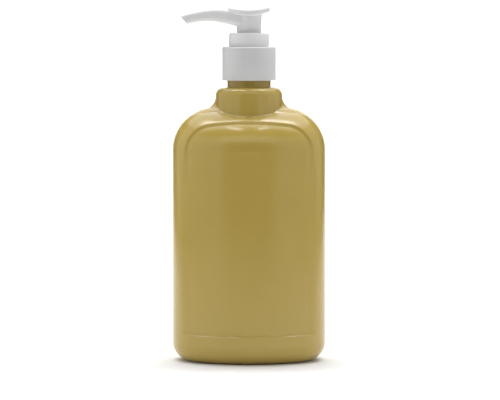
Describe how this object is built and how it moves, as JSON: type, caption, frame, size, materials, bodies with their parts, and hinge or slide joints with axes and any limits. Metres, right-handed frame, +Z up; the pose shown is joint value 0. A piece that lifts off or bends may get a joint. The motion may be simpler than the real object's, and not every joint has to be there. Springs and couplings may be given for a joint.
{
  "type": "pump oil bottle",
  "caption": "Oval blow-moulded bottle with a round tower under the neck and a screw-lock lotion pump, its head locked down.",
  "frame": {"origin": "centre of the base, on the surface the bottle stands on", "axes": "+Z up along the pump's axis, +X across the width, the front panel faces -Y and the spout points to -X"},
  "size_m": [0.076, 0.056, 0.1755],
  "materials": {
    "bottle_plastic": "gloss, mustard khaki polyethylene",
    "white_plastic": "semi-gloss white polypropylene",
    "natural_plastic": "uncoloured, milky polypropylene",
    "gasket_foam": "closed-cell polyethylene foam",
    "spring_steel": "drawn stainless wire",
    "ball_steel": "ground stainless"
  },
  "bodies": {
    "bottle": {"bottle": "bottle_plastic"},
    "pump": {"housing": "natural_plastic", "neck_gasket": "gasket_foam", "lock_ring": "white_plastic", "dip_tube": "natural_plastic", "ball_cage": "natural_plastic", "return_spring": "spring_steel"},
    "closure": {"closure": "white_plastic"},
    "plunger": {"piston_rod": "natural_plastic"},
    "piston": {"piston": "natural_plastic"},
    "head": {"actuator": "white_plastic", "main_stem": "white_plastic"},
    "ball": {"inlet_ball": "ball_steel"}
  },
  "joints": [
    {"name": "pump_lift", "type": "slide", "parent": "bottle", "child": "pump", "axis": [0, 0, 1], "range_m": [0, 0.00476]},
    {"name": "closure_turn", "type": "hinge", "parent": "pump", "child": "closure", "pos_m": [0, 0, 0.147], "axis": [0, 0, 1], "range_deg": [0, 540]},
    {"name": "head_stroke", "type": "slide", "parent": "pump", "child": "plunger", "axis": [0, 0, 1], "range_m": [0, 0.015], "deforming": ["return_spring"]},
    {"name": "head_swivel", "type": "hinge", "parent": "plunger", "child": "head", "pos_m": [0, 0, 0.16], "axis": [0, 0, 1], "continuous": true},
    {"name": "piston_float", "type": "slide", "parent": "plunger", "child": "piston", "axis": [0, 0, 1], "range_m": [0, 0.0012]},
    {"name": "inlet_ball_lift", "type": "slide", "parent": "pump", "child": "ball", "axis": [0, 0, 1], "range_m": [0, 0.0015]}
  ],
  "couplings": [
    {"joint": "pump_lift", "follows": "closure_turn", "m_per_rad": 0.00050532}
  ]
}
